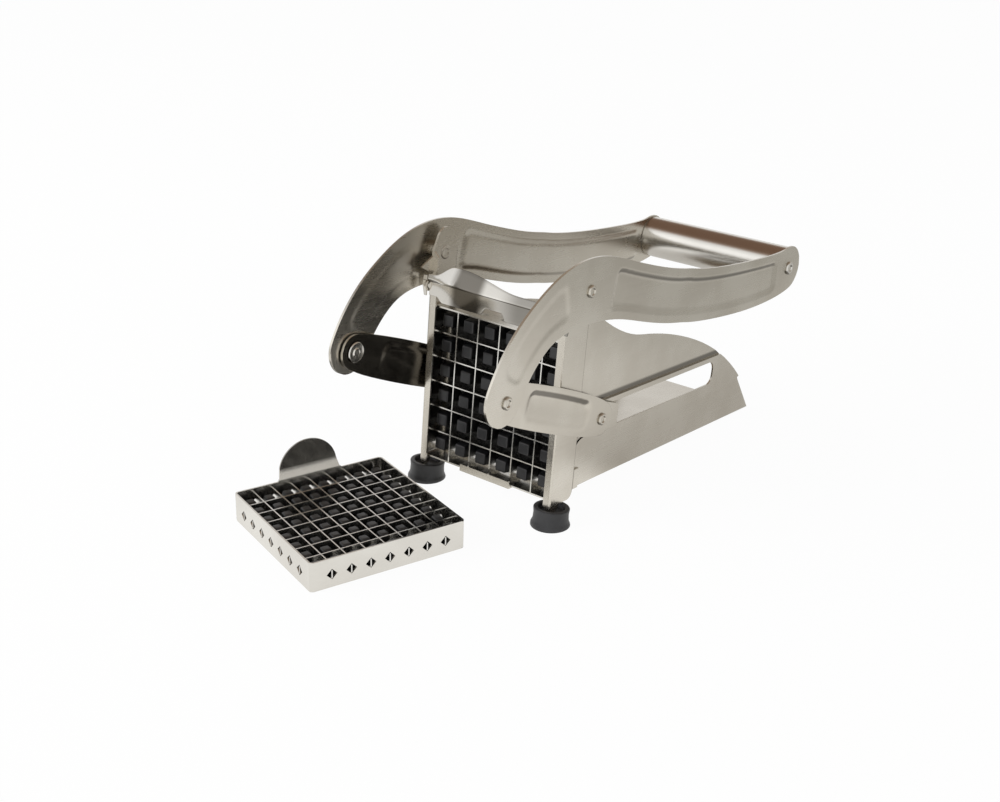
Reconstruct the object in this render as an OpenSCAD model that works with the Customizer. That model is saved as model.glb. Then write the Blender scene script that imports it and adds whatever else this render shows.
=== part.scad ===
// French fry cutter with a sliding pusher, a linked lever handle and two blade cassettes.
//
// Every cutter piece is drawn in the cutter's own frame: X to the right, Y from the blades
// towards the back of the trough, Z up, with the lower edge of the cell field at Z = 0 and the
// front edges of the blades at Y = 0. stand() then sets the cutter on its two front feet and on
// the back edge of its trough, so that it leans back a little and the table is at Z = 0.

/* [Blade cassettes] */
// Width and height of the field of cells
field = 76.2; // [72:0.1:80]
// Cells along one side of the fitted cassette
cells_fitted = 6; // [5:1:7]
// Cells along one side of the spare cassette
cells_spare = 8; // [6:1:9]
// Thickness of a blade
blade_t = 0.6; // [0.4:0.1:0.9]
// Depth of a blade from its front edge to its back edge
blade_d = 8.8; // [8:0.1:9.4]
// Depth of a cassette frame
frame_d = 14; // [13.6:0.1:14.3]
// Sheet thickness of a cassette frame
frame_t = 0.8; // [0.6:0.1:1]
// Distance that a cassette frame stands in front of its blades
frame_front = 2.3; // [2.2:0.05:2.6]
// Diagonal of the diamond holes that hold the blade ends
diamond = 5.2; // [3:0.2:5.4]
// Width of the pull tab
tab_w = 31; // [24:1:40]
// Height of the pull tab
tab_h = 17.8; // [12:0.1:18]
// Height of the leaning band at the root of the pull tab
tab_fold = 5.6; // [4:0.1:7]

/* [Front frame] */
// Sheet thickness of the front frame and the trough
sheet_t = 1; // [0.8:0.1:1.2]
// Depth of a post, and width of the ear that carries the handle
post_d = 17.6; // [16:0.2:20]
// Rise of the narrower top of an ear above the handle pivot
ear_rise = 6; // [0:0.2:7]
// Width of the front flange of a post
flange_w = 4; // [3.4:0.1:5]
// Height of the handle pivot above the cells
pivot_rise = 25.4; // [24:0.2:29]
// Length of the nib that stops the clip
nib_l = 8; // [5:0.5:10]
// Width of the lip under the cassette
lip_w = 30.4; // [20:0.4:40]
// Height of that lip above the bottom of the cells
lip_z = 1.7; // [1:0.1:3]

/* [Trough] */
// Distance from the blades to the lower back edge of the trough
trough_back = 187.4; // [180:0.2:200]
// Height of the underside of the trough above the bottom of the cells
floor_z = 1.3; // [1:0.05:1.5]
// Height of the top edge of the lower trough
seam_z = 41; // [41:0.2:46]
// Distance from the top of the cells down to the hollow in the top edge of the side walls
saddle_drop = 8.2; // [6:0.2:16]
// Distance from the blades to that hollow
saddle_y = 65; // [55:1:80]
// Length of the slanted back end of the side walls
tail_l = 15.4; // [10:0.2:20]
// Height of that slanted end
tail_h = 22.1; // [18:0.1:24]
// Overlap of the side plates behind the lower trough
seam_lap = 2.2; // [1.6:0.1:2.3]
// Height over which the side plates step in above the lower trough
joggle_h = 3.3; // [2.4:0.1:5]
// Distance from the blades to the back end of the slots
slot_back = 141; // [140:0.2:144]
// Height of the middle of the slots
slot_z = 32.2; // [31.5:0.1:32.8]
// Height of the slots
slot_h = 12.6; // [12.4:0.1:13.4]

/* [Feet] */
// Height of the bottom of the cells above the sole of a foot
seat_z = 13; // [12.6:0.1:16]
// Radius of a foot at its sole
foot_r = 9.4; // [8.6:0.1:11]
// Radius of a foot at its top
foot_top_r = 8.7; // [8:0.1:10]

/* [Handle] */
// Thickness of a handle arm
arm_t = 1.2; // [1:0.1:1.4]
// Gap between a post and the handle arm beside it
arm_gap = 4.2; // [4:0.1:5]
// Distance from the handle pivot to the crank pins
crank_r = 69; // [66:0.5:71]
// Direction from the handle pivot to the crank pins
crank_angle = 215; // [213:0.5:217]
// Distance from the blades to the middle of the grip
grip_y = 201.5; // [195:0.5:215]
// Height of the middle of the grip
grip_z = 81.7; // [79:0.1:86]
// Radius of the grip tube
grip_r = 11.5; // [9:0.5:12]
// Wall of the grip tube
grip_t = 1; // [0.8:0.1:2]
// Half width of an arm at the pivot
arm_half = 15.4; // [14:0.1:16]
// Half width of an arm along its neck
arm_neck = 13.6; // [12.6:0.1:14]
// Half width of an arm at its two ends
arm_end = 12.4; // [11.8:0.1:12.6]

/* [Links] */
// Thickness of a link
link_t = 1.2; // [1:0.1:1.4]
// Half width of a link at its middle
link_half = 10.7; // [9.5:0.1:12]
// Half width of a link at its ends
link_end = 8.5; // [7.5:0.1:9]
// Depth of the panels that stiffen arms and links
panel_d = 0.4; // [0.2:0.05:0.5]
// Radius of the rivet shanks
rivet_r = 2.2; // [1.8:0.1:2.6]
// Radius of the rivet heads
head_r = 3.3; // [3:0.1:4]

/* [Pusher] */
// Thickness of the base of a pusher block
base_t = 2.1; // [1.8:0.05:2.1]
// Side of the face of a stud of the fitted pusher block
stud_face = 6; // [4:0.2:6.6]
// Side of the root of a stud of the fitted pusher block
stud_root = 7.4; // [5:0.2:7.6]
// Side of the face of a stud of the spare pusher block
spare_face = 4.4; // [3:0.2:4.8]
// Side of the root of a stud of the spare pusher block
spare_root = 5.6; // [4:0.2:6]
// Distance from the blades to the pins on the pusher carrier
pin_y = 27.3; // [26.5:0.1:29]
// Height of the pins on the pusher carrier
pin_z = 34.7; // [34:0.1:35]

/* [Clip] */
// Height of the clip's hinge line above the cells
clip_rise = 10.8; // [10.4:0.1:12]
// Sheet thickness of the clip
clip_t = 0.8; // [0.6:0.1:1]
// Angle of the thumb flange from the horizontal
clip_lean = 60; // [50:1:75]
// Height of the thumb flange at its highest
thumb_h = 9.8; // [7:0.2:12]
// Height of the flange beside the thumb flange
ledge_h = 4.5; // [3:0.1:5]
// Distance from the clip's hinge line down to the lower edge of its skirt
skirt_drop = 7; // [5:0.2:8]
// Half width of the notch in the skirt
notch_half = 7.5; // [5:0.5:10]
// Length of the arrow heads on the ends of the clip
arrow_l = 2.8; // [2:0.1:3]

/* [Spare cassette] */
// Place of the spare cassette's middle to the right of the cutter's middle
spare_x = -26.3; // [-40:0.1:-20]
// Place of the spare cassette's middle behind the cutter's feet
spare_y = -69.1; // [-120:0.1:-66]
// Turn of the spare cassette on the table
spare_turn = 252; // [240:0.5:260]

/* [Hidden] */
$fn = 48;

steel = [0.66, 0.65, 0.61];
bright = [0.78, 0.78, 0.76];
rubber = [0.13, 0.13, 0.14];
plastic = [0.07, 0.07, 0.08];

fit = 0.05;    // radial clearance of a pin in its bore
snug = 0.02;   // radial clearance of a rivet in the piece that it is fixed to
slip = 0.3;    // clearance of a piece that slides or lifts past another
touch = 0.2;   // clearance between a cassette and what holds it
over = 1;      // how far a cut runs past the face that it opens

// Half widths of the nested sheets, from the cells outwards
cell_x = field / 2;
cassette_x = cell_x + frame_t;
post_in = cassette_x + slip;
post_out = post_in + sheet_t;
plate_out = post_in - sheet_t;
plate_in = plate_out - sheet_t;
ear_in = post_out + 0.6;
ear_out = ear_in + sheet_t;
link_in = ear_out + 0.6;
link_out = link_in + link_t;
arm_in = post_out + arm_gap;
arm_out = arm_in + arm_t;

// Depths along Y
lip_back = -frame_front - touch;
pivot_z = field + pivot_rise;
flange_back = lip_back - 0.9;
flange_front = flange_back - sheet_t;
post_back = flange_front + post_d;
pivot_y = flange_front + post_d / 2;
frame_back = frame_d - frame_front;
base_y = blade_d + 0.4;
stud_l = base_y - 0.3;
carrier_y = base_y + base_t;
trough_front = post_back + 0.6;
web_y = pin_y + 16;

// Heights
post_low = -3;
web_top = -frame_t;
trough_in = floor_z + sheet_t;
slot_low = slot_z - slot_h / 2;
slot_high = slot_z + slot_h / 2;
clip_z = field + clip_rise;
clip_y = flange_front - 1.8;
lean = atan((seat_z + floor_z) / trough_back);

heel_r = 4;
crank_y = pivot_y + crank_r * cos(crank_angle);
crank_z = pivot_z + crank_r * sin(crank_angle);
foot_x = post_out - 1.7;

// ---- helpers ----

// Sets the cutter on its feet and on the back edge of the trough
module stand() rotate([-lean, 0, 0]) translate([0, 0, seat_z]) children();

// Repeats its children on the left
module both() {
    children();
    mirror([1, 0, 0]) children();
}

module on_side(side) {
    if (side > 0) children();
    else mirror([1, 0, 0]) children();
}

// A sheet between two distances from the middle, cut to an outline drawn in Y and Z
module side_sheet(x_in, x_out)
    translate([x_in, 0, 0]) rotate([90, 0, 90]) linear_extrude(x_out - x_in) children();

// A round pin along X between two distances from the middle
module pin(y, z, r, x_in, x_out)
    translate([x_in, y, z]) rotate([0, 90, 0]) cylinder(r = r, h = x_out - x_in);

// A box between two corners
module box(a, b) translate(a) cube(b - a);

// A box over the full width, between two corners in Y and Z
module cross_box(x, a, b) box([-x, a.x, a.y], [x, b.x, b.y]);

function bezier(p, t) =
    let (u = 1 - t)
    u * u * u * p[0] + 3 * u * u * t * p[1] + 3 * u * t * t * p[2] + t * t * t * p[3];

function curve(p, steps, from = 0, to = 1) =
    [for (i = [0 : steps]) bezier(p, from + (to - from) * i / steps)];

function unit(v) = v / norm(v);
function left_of(path, i) =
    let (a = path[max(i - 1, 0)], b = path[min(i + 1, len(path) - 1)], d = unit(b - a))
    [-d.y, d.x];

// The outline of a band along a path, with one half width for each point of the path
function band(path, half) = concat(
    [for (i = [0 : len(path) - 1]) path[i] + half[i] * left_of(path, i)],
    [for (i = [len(path) - 1 : -1 : 0]) path[i] - half[i] * left_of(path, i)]
);

// Points of an arc about a centre
function arc(centre, r, from, to, steps = 12) =
    [for (i = [0 : steps]) let (a = from + (to - from) * i / steps) centre + r * [cos(a), sin(a)]];

function angle_of(v) = atan2(v.y, v.x);

// The same band with a round cap at each end
function round_band(path, half) =
    let (n = len(path) - 1,
         a = angle_of(left_of(path, 0)),
         b = angle_of(left_of(path, n)))
    concat(
        [for (i = [1 : n - 1]) path[i] + half[i] * left_of(path, i)],
        arc(path[n], half[n], b, b - 180),
        [for (i = [n - 1 : -1 : 1]) path[i] - half[i] * left_of(path, i)],
        arc(path[0], half[0], a - 180, a - 360)
    );

// ---- front frame and trough ----

// The top edge of the side walls, from the post down to the lower back corner
crest = [pivot_y + 17.6, pivot_z - 15.6];
saddle = [saddle_y, field - saddle_drop];
tail = [trough_back - tail_l, floor_z + tail_h];
front_slope = [crest, crest + [12, -8], saddle + [-15, 2], saddle];
back_slope = [saddle, saddle + [30, -4], tail + [-32, 28.6], tail];

module wall_outline()
    polygon(concat(
        [[trough_front, floor_z], [trough_back, floor_z], tail + [-0.6, -2.3],
         tail + [-1.6, -0.8]],
        [for (i = [16 : -1 : 0]) bezier(back_slope, i / 16)],
        [for (i = [8 : -1 : 0]) bezier(front_slope, i / 8)],
        [[trough_front, crest.y + 2]]
    ));

// The slot opens at the front, where the strip under it has a round corner
module slot_outline() {
    round_r = 5;
    front_r = 6;
    translate([trough_front - over, slot_low])
        square([slot_back - round_r - trough_front + over, slot_h]);
    translate([slot_back - 2 * round_r, slot_low + round_r])
        square([2 * round_r, slot_h - 2 * round_r]);
    for (z = [slot_low + round_r, slot_high - round_r])
        translate([slot_back - round_r, z]) circle(round_r);
    difference() {
        translate([trough_front - over, slot_low - front_r]) square([front_r + over, front_r + over]);
        translate([trough_front + front_r, slot_low - front_r]) circle(front_r);
    }
}

module trough() color(steel) stand() {
    both() side_sheet(plate_out, post_in) difference() {
        intersection() {
            wall_outline();
            translate([0, floor_z]) square([trough_back, seam_z - floor_z]);
        }
        slot_outline();
    }
    cross_box(plate_out + sheet_t / 2, [trough_front, floor_z], [trough_back, trough_in]);
}

// A side plate stands flush with the lower trough and steps in behind its top edge
module side_plate() {
    step_low = seam_z + 0.4;
    step_high = seam_z + joggle_h;
    intersection() {
        rotate([90, 0, 0]) translate([0, 0, -trough_back - over]) linear_extrude(trough_back + over)
            polygon([
                [plate_in, seam_z - seam_lap], [plate_out, seam_z - seam_lap], [plate_out, step_low],
                [post_in, step_high], [post_in, pivot_z], [plate_out, pivot_z],
                [plate_out, step_high], [plate_in, step_low]
            ]);
        side_sheet(plate_in - over, post_in + over) union() {
            wall_outline();
            translate([post_back - sheet_t, floor_z])
                square([trough_front - post_back + sheet_t, crest.y + 2 - floor_z]);
        }
    }
}

// The plate of a post: the leg that enters the foot, the ear and the nib that stops the clip
module post_outline() {
    tongue = -8;
    difference() {
        union() {
            translate([flange_front, post_low]) square([post_d, pivot_z - post_low]);
            hull() {
                translate([pivot_y, pivot_z]) circle(post_d / 2);
                translate([pivot_y, pivot_z + ear_rise]) circle(0.74 * post_d / 2);
            }
            polygon([[flange_front, tongue], [-1.5, tongue], [2.6, -4.6], [2.6, post_low],
                     [flange_front, post_low]]);
            polygon([[flange_front, clip_z + 0.7 * nib_l], [flange_front, clip_z + 1.75 * nib_l],
                     [flange_front - nib_l, clip_z + 1.2 * nib_l]]);
            translate([clip_y, clip_z]) circle(2.8);
            translate([clip_y, clip_z - 2.8]) square([flange_front - clip_y, 5.6]);
        }
        difference() {
            translate([post_back - heel_r, post_low - over]) square([heel_r + over, heel_r + over]);
            translate([post_back - heel_r, post_low + heel_r]) circle(heel_r);
        }
    }
}

module front_frame() color(steel) stand() {
    neck_r = clip_neck_r() + fit;
    tongue_l = 4.3;
    both() {
        difference() {
            side_sheet(post_in, post_out) post_outline();
            pin(pivot_y, pivot_z, rivet_r + snug, post_in - over, post_out + over);
            pin(clip_y, clip_z, neck_r, post_in - over, post_out + over);
        }
        // front flange, with a slanted lower end
        translate([0, flange_back, 0]) rotate([90, 0, 0]) linear_extrude(sheet_t)
            polygon([[post_in, -6], [post_out - flange_w, -3], [post_out - flange_w, pivot_z - 1],
                     [post_in - 0.5, pivot_z + 1.6], [post_in, pivot_z + 1.6]]);
        // joggle from the post in to the side plate
        box([plate_in, post_back - sheet_t, seam_z - seam_lap], [post_out, post_back, crest.y + 2]);
        side_plate();
        // tongue that laps over the lower trough
        box([post_in, post_back - sheet_t, floor_z], [post_out, post_back + tongue_l, floor_z + 10]);
    }
    cross_box(post_in + sheet_t / 2, [2, web_top - sheet_t], [post_back - heel_r, web_top]);
    cross_box(lip_w / 2 + 2, [0, web_top - sheet_t], [2, web_top]);
    cross_box(lip_w / 2, [lip_back - sheet_t, web_top - sheet_t], [0, web_top]);
    cross_box(lip_w / 2, [lip_back - sheet_t, web_top], [lip_back, lip_z]);
}

module foot(side) color(rubber) difference() {
    stand() on_side(side) {
        top = -4;
        recess = 2.6;
        tongue = -8;
        difference() {
            translate([foot_x, 0, 0]) rotate_extrude() polygon([
                [0, -seat_z - 3], [foot_r, -seat_z - 3], [foot_r, -seat_z + 1.2],
                [foot_top_r, -seat_z + 2.6], [foot_top_r, top - 0.8], [foot_top_r - 0.8, top],
                [6.4, top], [6, top - recess], [0, top - recess]
            ]);
            box([post_in - fit, flange_front - fit, tongue - fit],
                [post_out + fit, 1, top + over]);
        }
    }
    box([-field, -field, -field], [field, field, 0]);
}

module foot_right() foot(1);
module foot_left() foot(-1);

// ---- blade cassettes ----

// Middles of the blades of one direction
function blade_at(cells) = [for (i = [1 : cells - 1]) -cell_x + i * field / cells];

// A cassette is drawn like a fitted one, with its field centred on X and standing on Z = 0
module cassette_frame(cells) {
    hole_y = blade_d / 2 - 0.4;
    difference() {
        box([-cassette_x, -frame_front, -frame_t], [cassette_x, frame_back, field + frame_t]);
        box([-cell_x, -frame_front - over, 0], [cell_x, frame_back + over, field]);
        for (x = blade_at(cells)) {
            translate([x, hole_y, -frame_t - over]) linear_extrude(field + 2 * frame_t + 2 * over)
                rotate(45) square(diamond / sqrt(2), center = true);
            translate([-cassette_x - over, hole_y, x + cell_x]) rotate([0, 90, 0])
                linear_extrude(2 * cassette_x + 2 * over)
                rotate(45) square(diamond / sqrt(2), center = true);
        }
    }
    pull_tab();
}

// A tab behind the top of the frame: a band that leans outwards, then a half-round end that
// stands straight again
module pull_tab() {
    tab_lean = 22;
    end_w = tab_w - 1.2;
    fold_y = frame_back + tab_fold * cos(tab_lean);
    fold_z = field + tab_fold * sin(tab_lean);
    tip_y = frame_back + tab_h;
    tab_r = (end_w * end_w / 4 + (tip_y - fold_y) * (tip_y - fold_y)) / (2 * (tip_y - fold_y));
    intersection() {
        translate([-tab_w, 0, 0]) rotate([90, 0, 90]) linear_extrude(2 * tab_w) polygon([
            [frame_back - frame_t, field], [frame_back, field], [fold_y, fold_z], [tip_y + over, fold_z],
            [tip_y + over, fold_z + frame_t], [fold_y, fold_z + frame_t],
            [frame_back, field + frame_t], [frame_back - frame_t, field + frame_t]
        ]);
        translate([0, 0, field - over]) linear_extrude(tab_fold + 2 * over) union() {
            polygon([
                [-tab_w / 2 - 1.4, frame_back - frame_t], [-tab_w / 2 - 1.4, frame_back],
                [-tab_w / 2 - 0.3, frame_back + 1.2], [-end_w / 2, fold_y], [end_w / 2, fold_y],
                [tab_w / 2 + 0.3, frame_back + 1.2], [tab_w / 2 + 1.4, frame_back],
                [tab_w / 2 + 1.4, frame_back - frame_t]
            ]);
            intersection() {
                translate([0, tip_y - tab_r]) circle(tab_r);
                translate([-tab_w, fold_y - 0.1]) square([2 * tab_w, tab_h]);
            }
        }
    }
}

// One upright blade: cut half way from behind at each crossing, with a tenon at each end
module upright_blade(x, cells) {
    tenon = diamond - 1.4;
    hole_y = blade_d / 2 - 0.4;
    difference() {
        union() {
            box([x - blade_t / 2, 0, 0], [x + blade_t / 2, blade_d, field]);
            box([x - blade_t / 2, hole_y - tenon / 2, -frame_t],
                [x + blade_t / 2, hole_y + tenon / 2, field + frame_t]);
        }
        for (z = blade_at(cells))
            box([x - blade_t, blade_d / 2, z + cell_x - blade_t / 2 - fit],
                [x + blade_t, blade_d + over, z + cell_x + blade_t / 2 + fit]);
    }
}

module upright_blades(cells) for (x = blade_at(cells)) upright_blade(x, cells);

// The level blades are the upright ones turned about the blades' long axis and about the depth
module level_blades(cells)
    translate([0, blade_d, cell_x]) rotate([0, 90, 0]) rotate([0, 0, 180])
    translate([0, 0, -cell_x]) tenons_swapped(cells);

// A half turn puts the notches in front, so the tenons move to stay in the frame's holes
module tenons_swapped(cells) {
    tenon = diamond - 1.4;
    hole_y = blade_d / 2 + 0.4;
    for (x = blade_at(cells)) difference() {
        union() {
            box([x - blade_t / 2, 0, 0], [x + blade_t / 2, blade_d, field]);
            box([x - blade_t / 2, hole_y - tenon / 2, -frame_t],
                [x + blade_t / 2, hole_y + tenon / 2, field + frame_t]);
        }
        for (z = blade_at(cells))
            box([x - blade_t, blade_d / 2, z + cell_x - blade_t / 2 - fit],
                [x + blade_t, blade_d + over, z + cell_x + blade_t / 2 + fit]);
    }
}

module cassette_frame_36() color(bright) stand() cassette_frame(cells_fitted);
module upright_blades_36() color(bright) stand() upright_blades(cells_fitted);
module level_blades_36() color(bright) stand() level_blades(cells_fitted);

// The spare cassette lies on its front face
module on_table()
    translate([spare_x, spare_y, frame_front]) rotate([0, 0, spare_turn]) rotate([90, 0, 0])
    translate([0, 0, -cell_x]) children();

module cassette_frame_64() color(bright) on_table() cassette_frame(cells_spare);
module crosswise_blades_64() color(bright) on_table() upright_blades(cells_spare);
module lengthwise_blades_64() color(bright) on_table() level_blades(cells_spare);

// ---- pusher ----

// A block of tapered studs on a base, with the stud faces at Y = 0 and pointing along -Y
module stud_block(cells, face, root, length) {
    base_x = plate_in - slip - 0.3;
    base_low = trough_in + slip + 0.1;
    box([-base_x, length, base_low], [base_x, length + base_t, field - base_low]);
    pitch = field / cells;
    for (i = [0 : cells - 1], k = [0 : cells - 1])
        translate([(i + 0.5) * pitch - cell_x, length, (k + 0.5) * pitch])
            stud(face, root, length);
}

module stud(face, root, length) {
    chamfer = 0.6;
    intersection() {
        rotate([90, 0, 0]) linear_extrude(length) square(root, center = true);
        taper(face, root, length, chamfer);
        rotate([0, 90, 0]) taper(face, root, length, chamfer);
    }
}

// The outline of a stud seen from above, carried through its height
module taper(face, root, length, chamfer)
    linear_extrude(root + over, center = true)
    polygon([[-root / 2, 0], [-face / 2, -length + chamfer], [-face / 2 + chamfer, -length],
             [face / 2 - chamfer, -length], [face / 2, -length + chamfer], [root / 2, 0]]);

// The screws go into the studs of the second row and column from each side
screw_in = 1.5 * field / cells_fitted;
screw_at = [for (x = [-1, 1], z = [screw_in, field - screw_in]) [x * (cell_x - screw_in), z]];
screw_r = 1.6;

module screw_holes(r, y_from, y_to)
    for (s = screw_at) translate([s.x, y_to, s.y]) rotate([90, 0, 0]) cylinder(r = r, h = y_to - y_from);

module pusher_block_36() color(plastic) stand() difference() {
    stud_block(cells_fitted, stud_face, stud_root, stud_l);
    screw_holes(screw_r + fit, base_y - 2, carrier_y + over);
}

module block_screws() color(bright) stand() {
    screw_holes(screw_r, base_y - 1.8, carrier_y + sheet_t);
    screw_holes(2 * screw_r, carrier_y + sheet_t, carrier_y + sheet_t + 1.4);
}

// The spare block lies in the spare cassette from below
module pusher_block_64() color(plastic) on_table() {
    spare_l = frame_front + blade_d - base_t - 0.6;
    translate([0, -frame_front, 0]) mirror([0, 1, 0]) translate([0, -spare_l - base_t, 0])
        stud_block(cells_spare, spare_face, spare_root, spare_l);
}

ear_r = 8.4;

module ear_outline() {
    translate([pin_y, pin_z]) circle(ear_r);
    polygon([[pin_y, slot_low + 0.5], [web_y + sheet_t, slot_low + 0.5],
             [web_y + sheet_t, slot_high - 0.5], [pin_y + 3, pin_z + ear_r - 0.6]]);
}

module pusher_carrier() color(steel) stand() {
    wing_out = plate_in - slip - 0.3;
    wing_low = slot_low + 0.5;
    wing_high = slot_high - 0.5;
    difference() {
        cross_box(wing_out, [carrier_y, trough_in + slip + 1], [carrier_y + sheet_t, field - 5]);
        screw_holes(screw_r + fit, carrier_y - over, carrier_y + sheet_t + over);
    }
    both() {
        box([wing_out - sheet_t, carrier_y, wing_low], [wing_out, web_y + sheet_t, wing_high]);
        box([wing_out - sheet_t, web_y, wing_low], [ear_out, web_y + sheet_t, wing_high]);
        difference() {
            side_sheet(ear_in, ear_out) ear_outline();
            pin(pin_y, pin_z, rivet_r + snug, ear_in - over, ear_out + over);
        }
    }
}

// ---- handle ----

crank = [crank_y, crank_z];
pivot = [pivot_y, pivot_z];
grip = [grip_y, grip_z];
waist = [(pivot_y + grip_y) / 2 - 12.2, grip_z + 3.2];
shank_curve = [crank + [-2, 1.6], crank + [5.7, 20.2], pivot + [-31, 0], pivot];
neck_curve = [pivot, pivot + [24.8, 0], waist + [-35.5, 4.2], waist];
grip_curve = [waist, waist + [20.8, -4.7], grip + [-18, -5.6], grip];
arm_steps = 12;
arm_path = concat(
    curve(shank_curve, arm_steps),
    [for (i = [1 : arm_steps]) bezier(neck_curve, i / arm_steps)],
    [for (i = [1 : arm_steps]) bezier(grip_curve, i / arm_steps)]
);
// Half widths swell from the shank to the pivot, keep level along the neck and end narrow
function soft(t) = let (u = max(0, min(1, t))) u * u * (3 - 2 * u);
function swell(i) = let (t = i / arm_steps)
    t <= 1 ? arm_end + (arm_half - arm_end) * soft(2 * t - 1)
    : t <= 2 ? arm_half + (arm_neck - arm_half) * soft(2 * t - 2)
    : arm_neck + (arm_end - arm_neck) * soft(2 * t - 5);
arm_widths = [for (i = [0 : 3 * arm_steps]) swell(i)];

module arm_outline() polygon(round_band(arm_path, arm_widths));

// The long panel runs from behind the pivot to the grip, the short one along the shank
panel_margin = 7;
function panel(path, widths, from, to) =
    let (n = to - from)
    band([for (i = [from : to]) path[i]],
         [for (i = [from : to]) (widths[i] - panel_margin) * min(1, 0.15 + (to - i) / 4)]);

module arm_panels() {
    polygon(panel(arm_path, arm_widths, arm_steps + 3, 3 * arm_steps - 2));
    polygon(panel(arm_path, arm_widths, 4, arm_steps - 2));
}

// A sheet piece with panels pressed inwards
module pressed(x_in, x_out, depth) {
    difference() {
        side_sheet(x_in, x_out) children(0);
        side_sheet(x_out - depth, x_out + over) children(1);
    }
    side_sheet(x_in - depth, x_in) children(1);
}

module arm(side) color(steel) stand() on_side(side) difference() {
    pressed(arm_in, arm_out, panel_d) {
        arm_outline();
        arm_panels();
    }
    pin(pivot_y, pivot_z, rivet_r + fit, arm_in - over, arm_out + over);
    pin(crank_y, crank_z, rivet_r + snug, arm_in - over, arm_out + over);
    pin(grip_y, grip_z, grip_rod_r + snug, arm_in - over, arm_out + over);
}

module arm_right() arm(1);
module arm_left() arm(-1);

grip_rod_r = 2.6;
disc_t = 2;
grip_x = arm_in - 0.1;

module grip_tube() color(bright) stand() difference() {
    pin(grip_y, grip_z, grip_r, -grip_x, grip_x);
    pin(grip_y, grip_z, grip_r - grip_t, -grip_x - over, grip_x + over);
}

// Discs that centre the rod in the ends of the tube
module grip_discs() color(steel) stand() both() difference() {
    pin(grip_y, grip_z, grip_r - grip_t - snug, grip_x - disc_t, grip_x);
    pin(grip_y, grip_z, grip_rod_r + snug, grip_x - disc_t - over, grip_x + over);
}

module grip_rod() color(bright) stand() {
    pin(grip_y, grip_z, grip_rod_r, -arm_out, arm_out);
    both() rivet_head(grip_y, grip_z, head_r + 0.4, arm_out, 1);
}

// A round head with a hollow in its end, pointing outwards (way = 1) or inwards (way = -1)
module rivet_head(y, z, r, x, way) {
    head_h = 1.2;
    translate([x, y, z]) rotate([0, way * 90, 0]) difference() {
        union() {
            cylinder(r = r, h = head_h - 0.4);
            translate([0, 0, head_h - 0.4]) cylinder(r1 = r, r2 = r - 0.5, h = 0.4);
        }
        translate([0, 0, head_h - 0.5]) cylinder(r = rivet_r - 0.4, h = over);
    }
}

module pivot_rivets() color(bright) stand() both() {
    pin(pivot_y, pivot_z, rivet_r, post_in, arm_out + 0.1);
    rivet_head(pivot_y, pivot_z, head_r, post_in, -1);
    rivet_head(pivot_y, pivot_z, head_r, arm_out + 0.1, 1);
}

// Spacers that hold the arms off the ears
module pivot_washers() color(steel) stand() both() difference() {
    pin(pivot_y, pivot_z, head_r + 1.2, post_out, arm_in - 0.1);
    pin(pivot_y, pivot_z, rivet_r + snug, post_out - over, arm_in + over);
}

// Short rivets in the lower ends of the arms
module crank_rivets() color(bright) stand() both() {
    pin(crank_y, crank_z, rivet_r, arm_in, arm_out);
    rivet_head(crank_y, crank_z, head_r, arm_out, 1);
}

// ---- links ----

link_dir = unit([pin_y, pin_z] - crank);
link_path = [for (i = [0 : 10]) crank + ([pin_y, pin_z] - crank) * i / 10];
link_widths = [for (i = [0 : 10]) link_end + (link_half - link_end) * sqrt(sin(18 * i))];

module link_outline() polygon(round_band(link_path, link_widths));

module link_panel() {
    panel_half = link_half - 3.6;
    polygon(band([for (i = [2 : 8]) link_path[i]],
                 [for (i = [2 : 8]) panel_half * (i < 3 || i > 7 ? 0.72 : 1)]));
}

module link(side) color(steel) stand() on_side(side) difference() {
    pressed(link_in, link_out, panel_d) {
        link_outline();
        link_panel();
    }
    pin(crank_y, crank_z, rivet_r + snug, link_in - over, link_out + over);
    pin(pin_y, pin_z, rivet_r + fit, link_in - over, link_out + over);
}

module link_right() link(1);
module link_left() link(-1);

// Eyelets in the front ends of the links, under the crank rivets
module link_eyelets() color(bright) stand() both() {
    pin(crank_y, crank_z, rivet_r, link_in, link_out + 0.2);
    rivet_head(crank_y, crank_z, head_r, link_in, -1);
}

// Rivets that join the ears of the carrier to the links
module carrier_rivets() color(bright) stand() both() {
    pin(pin_y, pin_z, rivet_r, ear_in, link_out + 0.1);
    rivet_head(pin_y, pin_z, head_r, link_out + 0.1, 1);
}

// ---- retaining clip ----

function clip_neck_r() = 1.5;

module clip_skirt() {
    skirt_x = post_in - slip;
    low = clip_z - skirt_drop;
    step = skirt_drop / 2.8;
    roof = skirt_drop / 2;
    n = notch_half;
    polygon([
        [-skirt_x, low + step], [-skirt_x + 2 * step, low + step], [-skirt_x + 3.2 * step, low],
        [-n, low], [-0.9 * n, low + 0.7 * roof], [-0.6 * n, low + roof], [0.6 * n, low + roof],
        [0.9 * n, low + 0.6 * roof], [1.2 * n, low], [skirt_x - 3.2 * step, low],
        [skirt_x - 2 * step, low + step], [skirt_x, low + step],
        [skirt_x, clip_z + clip_neck_r()], [-skirt_x, clip_z + clip_neck_r()]
    ]);
}

// The thumb flange stands high on the left and runs out to the right
module clip_flange() {
    end_x = post_out - flange_w - 0.4;
    brow = [[-end_x, ledge_h], [-0.88 * end_x, ledge_h], [-0.9 * end_x, thumb_h],
            [-0.7 * end_x, thumb_h]];
    slope = [brow[3], [-0.1 * end_x, thumb_h], [0.05 * end_x, ledge_h + 0.1],
             [0.5 * end_x, ledge_h]];
    polygon(concat(curve(brow, 6), curve(slope, 8, 1 / 8), [[end_x, ledge_h]],
                   [[end_x, -0.1], [-end_x, -0.1]]));
}

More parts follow.
